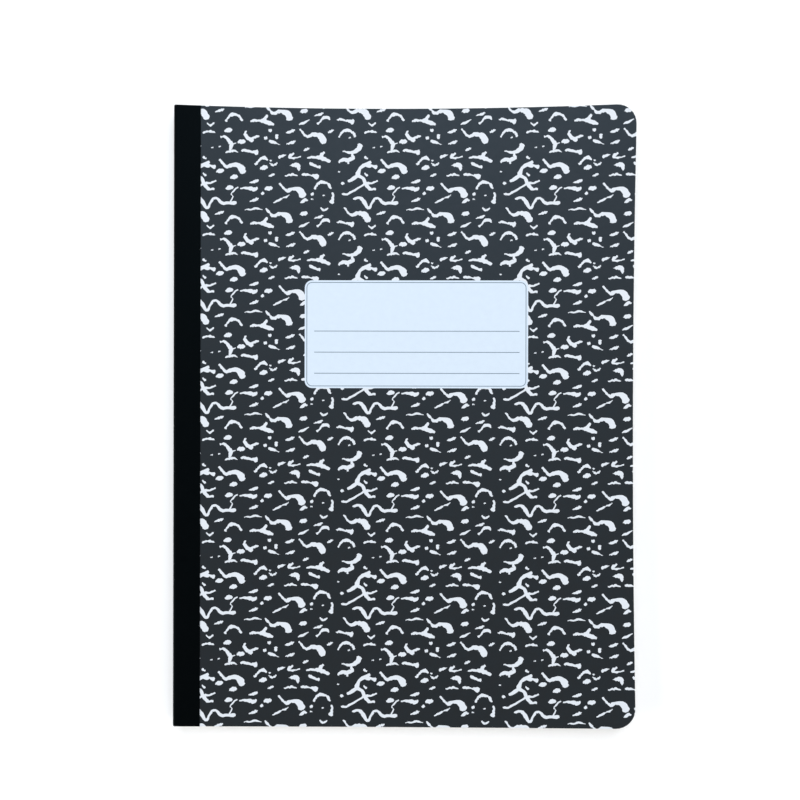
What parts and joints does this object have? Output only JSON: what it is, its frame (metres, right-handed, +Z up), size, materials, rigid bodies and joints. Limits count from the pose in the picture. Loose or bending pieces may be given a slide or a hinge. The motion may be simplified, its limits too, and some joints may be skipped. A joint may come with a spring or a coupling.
{
  "type": "composition notebook",
  "caption": "Sewn notebook with marbled board covers, a black cloth spine tape and a blank name label on the front; both covers hinge open at the spine.",
  "frame": {"origin": "under the middle of the notebook, on the surface that its back cover lies on", "axes": "+X from the spine to the fore edge, +Y to the head, +Z up out of the front cover"},
  "size_m": [0.1839, 0.2476, 0.0123],
  "materials": {
    "pages": "uncoated ruled writing paper",
    "thread": "twisted sewing thread",
    "tape": "black bookbinding cloth, satin",
    "board": "printed paper on pressed board, satin"
  },
  "bodies": {
    "block": {"page_block": "pages", "needle_thread": "thread", "bobbin_thread": "thread", "spine_tape_middle": "tape"},
    "front": {"front_cover": "board", "spine_tape_front": "tape"},
    "back": {"back_cover": "board", "spine_tape_back": "tape"}
  },
  "joints": [
    {"name": "front_cover_hinge", "type": "hinge", "parent": "block", "child": "front", "pos_m": [-0.0908, 0, 0.01], "axis": [0, -1, 0], "range_deg": [0, 180]},
    {"name": "back_cover_hinge", "type": "hinge", "parent": "block", "child": "back", "pos_m": [-0.0908, 0, 0], "axis": [0, 1, 0], "range_deg": [0, 180]}
  ]
}
